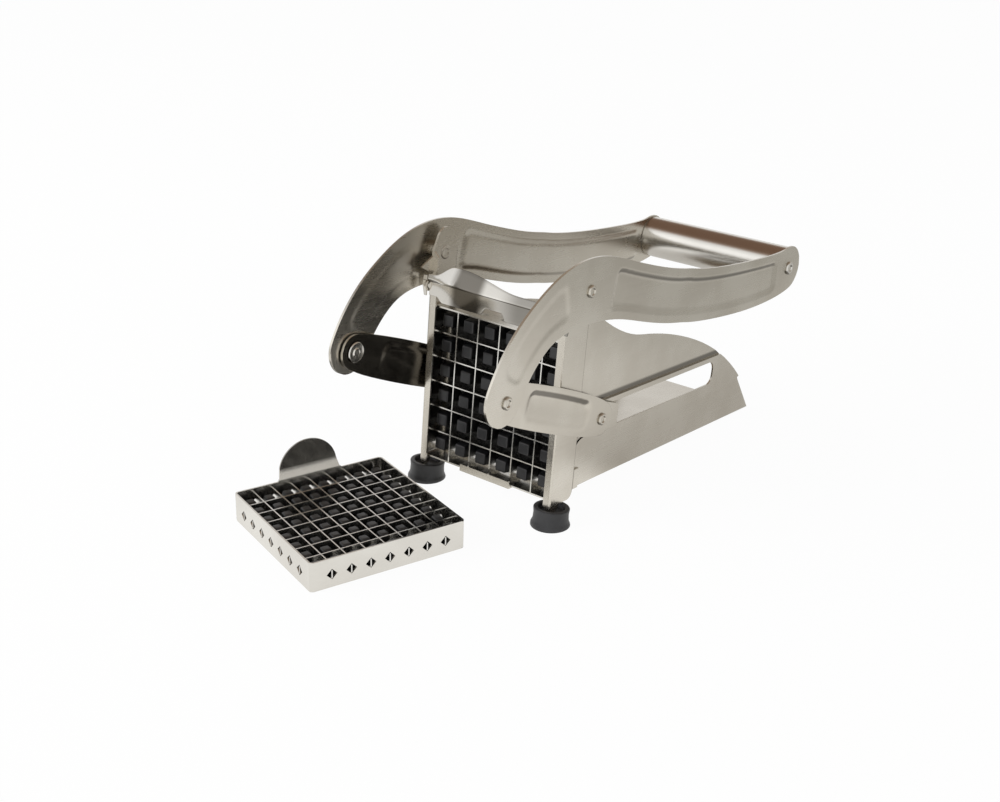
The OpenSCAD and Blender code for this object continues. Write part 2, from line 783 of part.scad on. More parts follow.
module retaining_clip() color(bright) stand() {
    skirt_x = post_in - slip;
    translate([0, clip_y + clip_t / 2, 0]) rotate([90, 0, 0]) linear_extrude(clip_t) clip_skirt();
    translate([0, clip_y + clip_t / 2, clip_z + clip_neck_r()]) rotate([clip_lean, 0, 0])
        linear_extrude(clip_t) clip_flange();
    both() {
        pin(clip_y, clip_z, clip_neck_r(), skirt_x - 3, post_out + 0.5);
        // arrow head outside the post
        translate([0, clip_y + clip_t / 2, clip_z]) rotate([90, 0, 0]) linear_extrude(clip_t)
            polygon([[post_out + 0.4, -1.9 * arrow_l], [post_out + 0.4 + 0.55 * arrow_l, -1.9 * arrow_l],
                     [post_out + 0.4 + arrow_l, 0], [post_out + 0.4 + 0.8 * arrow_l, 1.65 * arrow_l],
                     [post_out + 0.4, 1.7 * arrow_l]]);
    }
}

front_frame();
trough();
foot_right();
foot_left();
pivot_rivets();
pivot_washers();
retaining_clip();
cassette_frame_36();
upright_blades_36();
level_blades_36();
arm_right();
arm_left();
grip_tube();
grip_discs();
grip_rod();
crank_rivets();
pusher_carrier();
pusher_block_36();
block_screws();
carrier_rivets();
link_right();
link_left();
link_eyelets();
cassette_frame_64();
crosswise_blades_64();
lengthwise_blades_64();
pusher_block_64();
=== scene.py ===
# %% [markdown]
# # A french fry cutter
# A lever pushes a block of studs along a steel trough and drives a potato through a grid of
# blades. The solids of the machine come ready made and stay where they are. These cells give
# them their looks: pressed sheet steel with soft bends, a polished grip, black studs and
# rubber feet. Each step says what the piece is, how it could be made and why it is made so.

# %% Load the solids
import math

import bpy
from mathutils import Matrix, Vector


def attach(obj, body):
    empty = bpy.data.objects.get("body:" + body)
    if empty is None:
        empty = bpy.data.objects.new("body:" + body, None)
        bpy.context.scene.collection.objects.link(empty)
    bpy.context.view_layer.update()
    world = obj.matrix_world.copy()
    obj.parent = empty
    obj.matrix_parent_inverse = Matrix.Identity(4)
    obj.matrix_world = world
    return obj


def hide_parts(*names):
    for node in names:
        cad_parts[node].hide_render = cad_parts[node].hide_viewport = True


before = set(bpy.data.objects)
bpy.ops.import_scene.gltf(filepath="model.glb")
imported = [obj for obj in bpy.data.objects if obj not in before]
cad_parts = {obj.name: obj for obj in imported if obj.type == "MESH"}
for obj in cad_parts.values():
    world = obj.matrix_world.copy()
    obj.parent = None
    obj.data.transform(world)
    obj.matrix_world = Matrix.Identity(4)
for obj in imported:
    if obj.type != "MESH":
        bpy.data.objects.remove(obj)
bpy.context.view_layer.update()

# %% [markdown]
# ## Two places to work in
# The cutter leans back on its trough by a few degrees, and the spare cassette lies turned on
# the table. Drawing in tilted numbers invites mistakes, so each piece is drawn upright in
# millimetres, X across, Y from the blades to the back, Z up from the bottom of the cells, and
# one matrix then sets it in place.

# %% Matrices of the cutter and of the spare cassette
MM = 0.001
FIELD = 76.2                 # side of the square field of cells
SEAT = 13.0                  # bottom of the cells above the soles of the feet
TROUGH_FLOOR = 1.3           # underside of the trough above the bottom of the cells
TROUGH_BACK = 187.4          # from the blades to the lower back edge of the trough
FRAME_FRONT = 2.3            # how far a cassette frame stands in front of its blades
LEAN = math.atan2(SEAT + TROUGH_FLOOR, TROUGH_BACK)
SPARE_PLACE = Vector((-26.3, -69.1, FRAME_FRONT))
SPARE_TURN, LAID_FLAT = math.radians(252), math.radians(90)

in_cutter = Matrix.Rotation(-LEAN, 4, "X") @ Matrix.Translation((0, 0, SEAT * MM))
in_spare = (Matrix.Translation(SPARE_PLACE * MM) @ Matrix.Rotation(SPARE_TURN, 4, "Z")
            @ Matrix.Rotation(LAID_FLAT, 4, "X") @ Matrix.Translation((0, 0, -FIELD / 2 * MM)))
print(f"the cutter leans back {math.degrees(LEAN):.2f} degrees")

# %% [markdown]
# ## Camera
# The camera looks down on the front right corner from about two thirds of a metre. Its place
# is given as a point, and its direction as three angles: yaw round the upright, pitch and a
# slight roll. Three axes built from those angles make its matrix directly, which is easier to
# check than a chain of rotations.

# %% Camera
EYE = Vector((374.505, -501.795, 262.616))
LENS, SENSOR = 50.4, 36      # both in millimetres
yaw, pitch, roll = (math.radians(a) for a in (36.487, 19.725, 4.645))
back = Vector((math.sin(yaw) * math.cos(pitch), -math.cos(yaw) * math.cos(pitch),
               math.sin(pitch)))
level = Vector((0, 0, 1)).cross(back).normalized()
rise = back.cross(level)
side = math.cos(roll) * level + math.sin(roll) * rise
top = -math.sin(roll) * level + math.cos(roll) * rise
eye = Matrix((side, top, back)).transposed().to_4x4()
eye.translation = EYE * MM

camera = bpy.data.objects.new("camera", bpy.data.cameras.new("camera"))
camera.data.sensor_width = SENSOR
camera.data.lens = LENS
camera.data.clip_start = 0.01
camera.matrix_world = in_cutter @ eye
bpy.context.collection.objects.link(camera)
bpy.context.scene.camera = camera
bpy.context.scene.view_settings.view_transform = "Standard"
print(f"camera: {EYE.length:.0f} mm away, lens {LENS} mm")

# %% [markdown]
# ## Shader arithmetic
# A finish is easier to read as a formula than as wires. `Wire` wraps one socket of a node tree
# and turns +, - and * into Math nodes. `Tree.node` adds any other node: its settings go in
# first, then the values or wires of its sockets. `Tree.read` takes an output of a node that
# needs neither, such as a coordinate.

# %% A wire
class Wire:
    """An output socket that can be reckoned with."""

    def __init__(self, tree, socket):
        self.tree, self.socket = tree, socket

    def math(self, operation, *values):
        return self.tree.node("ShaderNodeMath", {"operation": operation}, *values)

    def __add__(self, other):
        return self.math("ADD", self, other)

    def __sub__(self, other):
        return self.math("SUBTRACT", self, other)

    def __rsub__(self, other):
        return self.math("SUBTRACT", other, self)

    def __mul__(self, other):
        return self.math("MULTIPLY", self, other)

    __radd__ = __add__
    __rmul__ = __mul__

    def step(self, low, high):
        """0 below low, 1 above high and a smooth ramp between them."""
        return self.tree.node("ShaderNodeMapRange", {"interpolation_type": "SMOOTHSTEP"},
                              self, low, high)

    def along(self, *way):
        """How far a point or an arrow reaches along a direction."""
        return self.tree.node("ShaderNodeVectorMath", {"operation": "DOT_PRODUCT"},
                              self, way, output=1)


# %% A tree of nodes
class Tree:
    """The nodes of one material, or of the world."""

    def __init__(self, owner):
        owner.use_nodes = True
        self.nodes, self.links = owner.node_tree.nodes, owner.node_tree.links

    def feed(self, socket, value):
        if isinstance(value, Wire):
            self.links.new(value.socket, socket)
        else:
            socket.default_value = value

    def node(self, kind, settings, *values, output=0, **named):
        made = self.nodes.new(kind)
        for key, value in settings.items():
            setattr(made, key, value)
        for socket, value in zip(made.inputs, values):
            self.feed(socket, value)
        for key, value in named.items():
            self.feed(made.inputs[key.replace("_", " ")], value)
        return Wire(self, made.outputs[output])

    def read(self, kind, output):
        """An output of a node that needs no settings."""
        return Wire(self, self.nodes.new(kind).outputs[output])

    def blend(self, factor, one, other):
        """Colour one where the factor is 0, the other where it is 1."""
        made = self.nodes.new("ShaderNodeMix")
        made.data_type = "RGBA"
        for place, value in ((0, factor), (6, one), (7, other)):
            self.feed(made.inputs[place], value)
        return Wire(self, made.outputs[2])


# %% [markdown]
# ## Light
# Steel has no colour of its own to speak of: it shows the room. This room is a white studio
# with a grey wall behind the machine, a bright window at the front left and a brown wooden
# ceiling. Each is a region of directions with a soft edge, laid over the white one by one: a
# picture of a room would do the same, but regions are easier to change. Rays that metal or
# glass sends out get this room. Rays from the camera get plain white, and all others get a
# plain even fill.

# %% World
WHITE = (1, 1, 1)
GREY_WALL, WALL_MIDDLE = (0.64, 0.62, 0.58), (0.55, 0.535, 0.50)
WINDOW, WOOD = (1.5, 1.5, 1.5), (0.42, 0.335, 0.265)
FILL, FILL_STRENGTH = (0.98, 1.0, 1.0), 0.55

world = bpy.data.worlds.new("studio")
bpy.context.scene.world = world
sky = Tree(world)
camera_ray = sky.read("ShaderNodeLightPath", "Is Camera Ray")
mirror_ray = sky.read("ShaderNodeLightPath", "Is Glossy Ray")
glass_ray = sky.read("ShaderNodeLightPath", "Is Transmission Ray")
seen = camera_ray.math("MAXIMUM", camera_ray, mirror_ray)
seen = seen.math("MAXIMUM", seen, glass_ray)

direction = sky.read("ShaderNodeTexCoord", "Generated")
rear = direction.along(0.6, 0.8, 0)
rear_wall = rear.step(0.35, 0.75) * (1 - direction.along(0, 0, 1).step(0.30, 0.42))
rear_middle = rear.step(0.80, 0.92) * rear_wall
window = direction.along(-0.62, -0.68, 0.38).step(0.955, 0.975)
ceiling = direction.along(0, 0.27, 1).step(0.60, 0.70)
room = (*WHITE, 1)
for region, colour in ((rear_wall, GREY_WALL), (rear_middle, WALL_MIDDLE), (window, WINDOW),
                       (ceiling, WOOD), (camera_ray, WHITE)):
    room = sky.blend(region, room, (*colour, 1))
fill = sky.node("ShaderNodeBackground", {}, (*FILL, 1), FILL_STRENGTH)
surround = sky.node("ShaderNodeBackground", {}, room, 1.0)
sky.links.new(sky.node("ShaderNodeMixShader", {}, seen, fill, surround).socket,
              sky.nodes["World Output"].inputs["Surface"])
print(f"world: {len(sky.nodes)} nodes")

# %% [markdown]
# Two lamps give the room its direction: a large soft one at the front left, and a weak one on
# the right that opens the shadows. A lamp that steel mirrors shows as a hard white square, so
# both are hidden from glossy rays.

# %% Lamps
MIDDLE = Vector((0, 0.05, 0.05))


def softbox(name, place, width, height, power):
    """A rectangular lamp that faces the middle of the cutter. Metal doesn't mirror it."""
    lamp = bpy.data.lights.new(name, "AREA")
    lamp.shape, lamp.size, lamp.size_y = "RECTANGLE", width, height
    lamp.energy = power
    holder = bpy.data.objects.new(name, lamp)
    holder.location = place
    holder.rotation_euler = (Vector(place) - MIDDLE).to_track_quat("Z", "Y").to_euler()
    holder.visible_glossy = False
    bpy.context.collection.objects.link(holder)
    print(f"{name}: {power} W, {Vector(place).length:.2f} m away")


softbox("front_left_lamp", (-1.1, -1.35, 0.75), 1.3, 1.0, 34)
softbox("right_lamp", (1.6, 0.2, 0.7), 0.8, 0.8, 4)

# %% [markdown]
# ## Floor
# The floor is plain and pale. The camera sees nearly all of it as a white glow, and the rest as a
# real matt surface, so that it keeps a faint shadow under the machine. Steel that looks down at
# the floor sees a glow of its own: bright on the right, less so on the left and towards the back,
# with a painted shadow pool where the machine stands. Without those tones the lower half of every
# sheet would mirror one flat white.

# %% Floor
FLOOR_SIZE = 6               # metres
PALE = (0.86, 0.86, 0.84)
FLOOR_LEFT, FLOOR_RIGHT = (0.84, 0.83, 0.81), (1.12, 1.11, 1.09)
FLOOR_BACK, BEHIND_GRIP, SHADOW_POOL = (0.52, 0.51, 0.48), (0.80, 0.78, 0.74), (0.62, 0.60, 0.57)
EYE_GLOW, MIRROR_GLOW = 0.96, 0.9

bpy.ops.object.select_all(action="DESELECT")
bpy.ops.mesh.primitive_plane_add(size=FLOOR_SIZE)
floor = bpy.context.object
floor.name = "floor"
floor_finish = bpy.data.materials.new("floor")
ground = Tree(floor_finish)
ground.nodes.remove(ground.nodes["Principled BSDF"])
eye_ray = ground.read("ShaderNodeLightPath", "Is Camera Ray")
glossy_ray = ground.read("ShaderNodeLightPath", "Is Glossy Ray")
spot = ground.read("ShaderNodeTexCoord", "Object")
right, far = spot.along(1, 0, 0), spot.along(0, 1, 0)

beside = right.math("ABSOLUTE", right)
# Painted shadow: the glow that steel mirrors is duller beside the machine, where its shadow falls.
shadow_pool = (1 - beside.step(0.07, 0.115)) * far.step(0.045, 0.08) * (1 - far.step(0.27, 0.33))
behind_grip = far.step(0.29, 0.34) * (1 - right.step(0.11, 0.16))
mirrored_floor = ground.blend(right.step(-0.26, -0.14), (*FLOOR_LEFT, 1), (*FLOOR_RIGHT, 1))
for region, colour in ((far.step(0.04, 0.37), FLOOR_BACK), (behind_grip, BEHIND_GRIP),
                       (shadow_pool, SHADOW_POOL)):
    mirrored_floor = ground.blend(region, mirrored_floor, (*colour, 1))
matt = ground.node("ShaderNodeBsdfDiffuse", {}, (*PALE, 1))
shown = ground.blend(glossy_ray, (*WHITE, 1), mirrored_floor)
glow = ground.node("ShaderNodeEmission", {}, shown, 1.0)
glow_share = (eye_ray * EYE_GLOW) + (glossy_ray * MIRROR_GLOW)
ground.links.new(ground.node("ShaderNodeMixShader", {}, glow_share, matt, glow).socket,
                 ground.nodes["Material Output"].inputs["Surface"])
floor.data.materials.append(floor_finish)
print(f"floor: {FLOOR_SIZE} m wide")

# %% [markdown]
# ## Sheet steel
# The frame, the trough, the arms and the links are stainless sheet with a satin finish. Two
# warm greys drift into each other in patches as wide as a thumb, where hands and polishing
# left the sheet a little smoother. Fine streaks run along the trough in the roughness and as
# a very shallow bump. Flat grey with one roughness would look like paint.
#
# Some places get painted shade: creases that turn downwards, a seam, a band where the sheet
# mirrors a dark neighbour. They could be painted by hand, but a rule is quicker and fits any pose:
# a facet is darkened by the direction in which the sheet faces, and a stripe by its place between
# two distances. A share below zero takes away painted shade that another rule has added.

# %% The finish of a steel surface
ACROSS, DEEP, UP, DOWN = (1, 0, 0), (0, 1, 0), (0, 0, 1), (0, 0, -1)
# Faces that turn downwards get painted shade.
DOWNWARD_SHADE = (DOWN, 0.10, 0.30, 0.85)     # direction, soft edge from and to, share of painted shade
ANYWHERE = 200                         # a distance past every piece


def steel(name, dark, light, rough, drift=0.08, streak=0.05, patch=30, grain=(700, 18, 700),
          depth=0.000004, facets=(DOWNWARD_SHADE,), stripes=(), painted_shade=(0.10, 0.09, 0.075)):
    """A metal finish: patches and fine streaks around one roughness, and painted shade over it, a
    darker colour that stands in for shade and dark reflections. A facet is a direction, the two
    ends of its soft edge and its share of painted shade. A stripe is a direction, two distances in
    millimetres, half the width of its soft edges and its share."""
    finish = bpy.data.materials.new(name)
    tree = Tree(finish)
    shader = tree.nodes["Principled BSDF"]
    shader.inputs["Metallic"].default_value = 1
    place = tree.read("ShaderNodeTexCoord", "Object")
    upright = tree.node("ShaderNodeMapping", {}, place, (0, 0, -SEAT * MM), (LEAN, 0, 0))
    brushed = tree.node("ShaderNodeMapping", {}, upright, Scale=grain)
    patches = tree.node("ShaderNodeTexNoise", {}, upright, Scale=patch, Detail=3, Roughness=0.55)
    streaks = tree.node("ShaderNodeTexNoise", {}, brushed, Scale=1, Detail=2, Roughness=0.5)
    tone = (patches.step(0.3, 0.7) * 0.85) + (streaks.step(0.25, 0.75) * 0.15)
    facing = tree.read("ShaderNodeTexCoord", "Normal")
    # Painted shade: each facet darkens the sheet by the direction in which it faces, each stripe
    # by its place between two distances.
    shade_amount = 0
    for way, low, high, share in facets:
        shade_amount = shade_amount + (facing.along(*way).step(low, high) * share)
    for way, low, high, soft, share in stripes:
        run = upright.along(*way)
        shade_amount = shade_amount + (run.step((low - soft) * MM, (low + soft) * MM)
                         * (1 - run.step((high - soft) * MM, (high + soft) * MM)) * share)
    unshaded = tree.blend(tone, (*dark, 1), (*light, 1))
    tree.feed(shader.inputs["Base Color"], tree.blend(shade_amount, unshaded, (*painted_shade, 1)))
    tree.feed(shader.inputs["Roughness"],
              (rough - drift / 2 - streak / 2) + (patches * drift) + (streaks * streak))
    bump = tree.node("ShaderNodeBump", {}, Strength=0.05, Distance=depth, Height=streaks)
    tree.feed(shader.inputs["Normal"], bump)
    print(f"{name}: {len(facets)} facets, {len(stripes)} stripes")
    return finish


# %% [markdown]
# The satin sheet comes in five versions, and four of them carry painted shade: the frame a dark
# seam over the trough and a thin dark line behind its posts, the trough a darker floor at its
# front, the left arm a darker lower bend, and the left link a dark face towards the machine. They
# share one pair of greys, so that they look cut from one sheet.

# %% Satin sheet
SATIN = ((0.53, 0.495, 0.435), (0.62, 0.59, 0.53))
satin = steel("satin_steel", *SATIN, 0.27)
# Painted shade on the frame: a thin dark line just behind the posts and a dark band along the seam
# over the trough. The last stripe takes painted shade off the posts in front.
shaded_frame = steel("shaded_frame_steel", *SATIN, 0.27,
                stripes=[(DEEP, 12.9, 13.6, 0.3, 0.6), (UP, 41.8, 44.7, 0.8, 0.85),
                         (DEEP, -ANYWHERE, 12.6, 0.3, -0.85)])
# Painted shade on the trough: faces that look up are darkened, and further than 24 mm behind the
# blades most painted shade is taken off again.
trough_steel = steel("trough_steel", *SATIN, 0.27, facets=[DOWNWARD_SHADE, (UP, 0.90, 0.98, 0.75)],
                     stripes=[(DEEP, 24, 2 * ANYWHERE, 5, -0.75)])
# Painted shade on the left arm: darker more than 14 mm in front of the blades, except below 84 mm.
left_satin = steel("left_steel", *SATIN, 0.27,
                   stripes=[(DEEP, -ANYWHERE, -14, 10, 0.45), (UP, -ANYWHERE, 84, 8, -0.45)])
# Painted shade on the left link: its face towards the middle of the machine is darkened.
left_link_steel = steel("left_link_steel", *SATIN, 0.24,
                        facets=[DOWNWARD_SHADE, (ACROSS, 0.3, 0.8, 0.93)])

# %% [markdown]
# The bright steels are smoother and paler. The grip and the clip are polished along their length,
# so their grain is turned, and they mirror most: the brown of the ceiling on the grip and the dark
# of the arms on the clip are strengthened here with painted reflections, by a facet and by
# stripes. The clip also has a thin line of painted shade along its bend, and the spare cassette's
# tab painted shade above its fold.

# %% Bright sheet
BRIGHT = ((0.62, 0.60, 0.56), (0.70, 0.685, 0.645))
ALONG_GRIP = {"grain": (40, 900, 900), "depth": 0.000002, "drift": 0.04, "streak": 0.04}
FRAME_UP = (0, -math.sin(LEAN), math.cos(LEAN))
bright = steel("bright_steel", *BRIGHT, 0.22, drift=0.06, patch=22)
# Painted reflection: the upper side of the grip takes a brown tone for the wooden ceiling that it
# mirrors.
polished = steel("polished_steel", (0.66, 0.64, 0.60), (0.74, 0.72, 0.68), 0.25, **ALONG_GRIP,
                 facets=[((0, -0.47, 0.88), 0.87, 0.975, 0.8)], painted_shade=(0.22, 0.12, 0.07))
# Painted reflection and shade on the clip: dark bands across it where it mirrors the arms, and a
# thin dark line along its bend.
clip_steel = steel("clip_steel", (0.64, 0.62, 0.58), (0.72, 0.70, 0.66), 0.12, **ALONG_GRIP,
                   stripes=[(ACROSS, -25, -8, 2.5, 0.9), (ACROSS, -8, 60, 2.5, 0.25),
                            (ACROSS, 8, 60, 7, 0.45), (UP, 89.0, 89.4, 0.15, 0.7)])
# Painted shade on the spare cassette: darker above the fold of its tab.
spare_steel = steel("spare_steel", *BRIGHT, 0.22, drift=0.06, patch=22,
                    stripes=[(FRAME_UP, 6.3, 40, 0.4, 0.5)])
blade_steel = steel("blade_steel", (0.66, 0.65, 0.62), (0.78, 0.77, 0.74), 0.24,
                    grain=(500, 60, 500))

# %% [markdown]
# ## Black plastic and rubber
# The studs are moulded plastic with a slight gloss and a fine, uneven skin. The feet are soft
# rubber, nearly matt and a little greyer with dust. The left foot is smoother, and darker with
# painted shade, since it stands in the shade of the spare cassette. All are dark, so most of what
# is seen of them is the shine of their edges.

# %% The finish of a moulded piece
def moulded(name, dark, light, rough, spread, scale, depth):
    """Black plastic or rubber: a mottled skin with a small bump."""
    finish = bpy.data.materials.new(name)
    tree = Tree(finish)
    shader = tree.nodes["Principled BSDF"]
    place = tree.read("ShaderNodeTexCoord", "Object")
    cloud = tree.node("ShaderNodeTexNoise", {}, place, Scale=60, Detail=4, Roughness=0.6)
    skin = tree.node("ShaderNodeTexNoise", {}, place, Scale=scale, Detail=2, Roughness=0.5)
    mottled = tree.blend(cloud.step(0.35, 0.7), (*dark, 1), (*light, 1))
    tree.feed(shader.inputs["Base Color"], mottled)
    tree.feed(shader.inputs["Roughness"], (rough - spread / 2) + (cloud * spread))
    tree.feed(shader.inputs["Normal"],
              tree.node("ShaderNodeBump", {}, Strength=0.4, Distance=depth, Height=skin))
    print(f"{name}: roughness {rough}")
    return finish


black_plastic = moulded("black_plastic", (0.008, 0.008, 0.009), (0.016, 0.016, 0.017),
                        0.34, 0.12, scale=900, depth=0.00006)
# Painted shade: the left foot's rubber is a darker copy, for the shade of the spare cassette.
shaded_rubber = moulded("shaded_rubber", (0.007, 0.007, 0.008), (0.014, 0.014, 0.015),
                      0.42, 0.12, scale=1400, depth=0.0001)
black_rubber = moulded("black_rubber", (0.016, 0.016, 0.018), (0.034, 0.034, 0.036),
                       0.55, 0.15, scale=1400, depth=0.0001)

# %% [markdown]
# ## Hand tools
# These few helpers do what a modeller's hands do: let go of everything, take hold of a piece,
# and pick faces, edges or points by where they are. Picking by place could be done by number,
# but a number changes with every cut that is added before it.

# %% Picking
def let_go():
    """Leaves edit mode and selects nothing."""
    if bpy.context.object and bpy.context.object.mode != "OBJECT":
        bpy.ops.object.mode_set(mode="OBJECT")
    bpy.ops.object.select_all(action="DESELECT")


def hold(piece):
    """Selects one piece and makes it active."""
    let_go()
    piece.select_set(True)
    bpy.context.view_layer.objects.active = piece


def pick(piece, kind, wanted):
    """Selects vertices, edges or faces by a test on their place in millimetres.
    A vertex is tested by its point, an edge by its two ends, a face by its middle and normal."""
    hold(piece)
    bpy.ops.object.mode_set(mode="EDIT")
    bpy.ops.mesh.select_mode(type=kind)
    bpy.ops.mesh.select_all(action="DESELECT")
    bpy.ops.object.mode_set(mode="OBJECT")
    mesh = piece.data
    spot = [v.co / MM for v in mesh.vertices]
    count = 0
    if kind == "VERT":
        for vertex in mesh.vertices:
            vertex.select = wanted(spot[vertex.index])
            count += vertex.select
    elif kind == "EDGE":
        for edge in mesh.edges:
            edge.select = wanted(*(spot[i] for i in edge.vertices))
            count += edge.select
    else:
        for face in mesh.polygons:
            face.select = wanted(face.center / MM, face.normal)
            count += face.select
    bpy.ops.object.mode_set(mode="EDIT")
    return count


# %% [markdown]
# A new piece gets its name, and its place goes into its mesh. Modifiers are applied at once,
# so that each next step works on real points. Real sheet has no sharp edge anywhere, so every
# piece ends with a narrow bevel, and weighted normals keep the flat faces beside it flat.

# %% Finishing
def named(name):
    """Gives the piece in hand its name and puts its place into its mesh."""
    if bpy.context.object.mode != "OBJECT":
        bpy.ops.object.mode_set(mode="OBJECT")
    piece = bpy.context.object
    piece.name = piece.data.name = name
    bpy.ops.object.transform_apply(location=True, rotation=True, scale=True)
    return piece


def modify(piece, kind, **settings):
    """Adds a modifier and applies it."""
    hold(piece)
    bpy.ops.object.modifier_add(type=kind)
    modifier = piece.modifiers[-1]
    for key, value in settings.items():
        setattr(modifier, key, value)
    bpy.ops.object.modifier_apply(modifier=modifier.name)


def face_outwards(piece):
    """Turns every face of a closed piece outwards."""
    hold(piece)
    bpy.ops.object.mode_set(mode="EDIT")
    bpy.ops.mesh.select_all(action="SELECT")
    bpy.ops.mesh.normals_make_consistent(inside=False)
    bpy.ops.object.mode_set(mode="OBJECT")


def shade(piece):
    """Shades bends smooth and flat faces flat."""
    hold(piece)
    bpy.ops.object.shade_smooth_by_angle(angle=math.radians(50))
    modify(piece, "WEIGHTED_NORMAL", mode="FACE_AREA", weight=50, keep_sharp=True)


def round_edges(piece, width, angle=40, segments=2):
    """Rounds the edges that are sharper than an angle, and shades the piece."""
    modify(piece, "BEVEL", width=width * MM, segments=segments, limit_method="ANGLE",
           angle_limit=math.radians(angle), use_clamp_overlap=True)
    shade(piece)


# %% [markdown]
# A piece that was drawn upright is then seated in the machine, coated with its finish, and
# fastened: it rides on the body that it moves with, and stands for the solid that it dresses.

# %% Seating and fastening
def seat(piece, matrix):
    """Moves a piece that was drawn upright to where it stands."""
    hold(piece)
    piece.matrix_world = matrix
    bpy.ops.object.transform_apply(location=True, rotation=True, scale=True)


def coat(piece, finish):
    """Gives a piece one finish in place of what it had."""
    piece.data.materials.clear()
    piece.data.materials.append(finish)


def fasten(piece, body, finish, node):
    """The piece gets its finish, rides on its body and stands for its solid."""
    coat(piece, finish)
    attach(piece, body)
    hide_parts(node)
    print(f"{piece.name}: {len(piece.data.polygons)} faces")


# %% [markdown]
# ## Folded sheet: frame, trough and carrier
# These are flat plates, folded at right angles and slotted. Their solids already have the
# right outline, so the quickest honest way is to take a copy, join its loose triangles into
# clean faces, round the folds with a wide bevel and every other edge with a narrow one. The
# folds are picked by their place, the narrow bevel finds its edges by their angle.

# %% Copy of a solid with rounded folds
def sheet_copy(node, name, matrix, folds=(), edge=0.12):
    """Copies a solid, merges its triangles and rounds its folds. A fold is a test of an edge's
    two ends, a radius and a number of segments."""
    let_go()
    piece = bpy.data.objects.new(name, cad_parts[node].data.copy())
    piece.data.name = name
    bpy.context.collection.objects.link(piece)
    seat(piece, matrix.inverted())
    bpy.ops.mesh.customdata_custom_splitnormals_clear()
    bpy.ops.object.mode_set(mode="EDIT")
    bpy.ops.mesh.select_all(action="SELECT")
    bpy.ops.mesh.remove_doubles(threshold=0.00001)
    bpy.ops.mesh.dissolve_limited(angle_limit=math.radians(0.5))
    bpy.ops.object.mode_set(mode="OBJECT")
    for wanted, radius, segments in folds:
        count = pick(piece, "EDGE", wanted)
        bpy.ops.mesh.bevel(offset=radius * MM, segments=segments, affect="EDGES",
                           clamp_overlap=True)
        bpy.ops.object.mode_set(mode="OBJECT")
        print(f"{name}: {count} folded edges, radius {radius} mm")
    round_edges(piece, edge)
    return piece


def near(value, target, slack=0.03):
    return abs(value - target) < slack


# %% [markdown]
# The frame is folded along the front corners of its posts. A fold is told from the other
# upright edges by two distances: from the middle, and from the blades.

# %% Front frame
POST_OUT = 40.2              # outer face of a post
FLANGE_FRONT = -4.4          # front face of the flange of a post


def post_corner(a, b):
    """An upright edge along the front corner of a post."""
    return (all(near(abs(p.x), POST_OUT) and near(p.y, FLANGE_FRONT) for p in (a, b))
            and abs(a.z - b.z) > 1)


front = sheet_copy("front_frame", "front_frame_sheet", in_cutter, [(post_corner, 2.0, 6)])
seat(front, in_cutter)
fasten(front, "housing", shaded_frame, "front_frame")

# %% [markdown]
# The trough is folded along both lower corners. The carrier inside it, which holds the stud
# block, is small and mostly hidden, so a narrow bevel on all its edges is enough.

# %% Trough
POST_IN = 39.2               # inner face of a post, and outer face of the trough


def trough_corner(a, b):
    """An edge from front to back along a lower corner of the trough."""
    return (all(near(abs(p.x), POST_IN) and near(p.z, TROUGH_FLOOR) for p in (a, b))
            and abs(a.y - b.y) > 1)


trough = sheet_copy("trough", "trough_sheet", in_cutter, [(trough_corner, 1.3, 4)])
seat(trough, in_cutter)
fasten(trough, "housing", trough_steel, "trough")

# %% Pusher carrier
carrier = sheet_copy("pusher_carrier", "carrier_sheet", in_cutter)
seat(carrier, in_cutter)
fasten(carrier, "pusher", satin, "pusher_carrier")

# %% [markdown]
# ## Blade cassettes
# A cassette is a strip of bright sheet wrapped round a square, with a row of diamond holes on
# each side that catch the ends of the blades. What makes it look wrapped is the round corner,
# so the four corners get a wide bevel outside and a smaller one inside. Both cassettes are
# the same shape apart from the number of holes: the same cell makes them.

# %% Cassette frames
WRAP = 0.8                   # sheet thickness of a cassette frame


def wrapped_corner(out):
    """A test for edges along the four corners, this far outside the cells."""
    x, low, high = FIELD / 2 + out, -out, FIELD + out
    return lambda a, b: (
        all(near(abs(p.x), x) and (near(p.z, low) or near(p.z, high)) for p in (a, b))
        and abs(a.y - b.y) > 1)


for cells, matrix, body, finish in ((36, in_cutter, "fitted_cassette", bright),
                                    (64, in_spare, "spare_cassette", spare_steel)):
    cassette = sheet_copy(f"cassette_frame_{cells}", f"cassette_{cells}", matrix,
                          [(wrapped_corner(WRAP), 1.6, 4), (wrapped_corner(0), 0.8, 3)],
                          edge=0.1)
    seat(cassette, matrix)
    fasten(cassette, body, finish, f"cassette_frame_{cells}")

# %% [markdown]
# The blades are thin straight strips with notches where they cross. A bevel on an edge of half
# a millimetre would never be seen, so they keep their solids and only get their steel.

# %% Blades
for node in ("upright_blades_36", "level_blades_36", "crosswise_blades_64",
             "lengthwise_blades_64"):
    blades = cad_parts[node]
    coat(blades, blade_steel)
    print(f"{node}: {len(blades.data.polygons)} faces")

# %% [markdown]
# ## Arms of the handle
# An arm is a flat blank that curves over the pivot and runs out to the grip. Its middle line
# is three cubic curves in a row: from the crank pin up to the pivot, over to the waist of the
# arm, and out to the grip. An arm could be traced point by point, but three curves with a few
# handles stay smooth however they are changed. The blank is widest at the pivot.

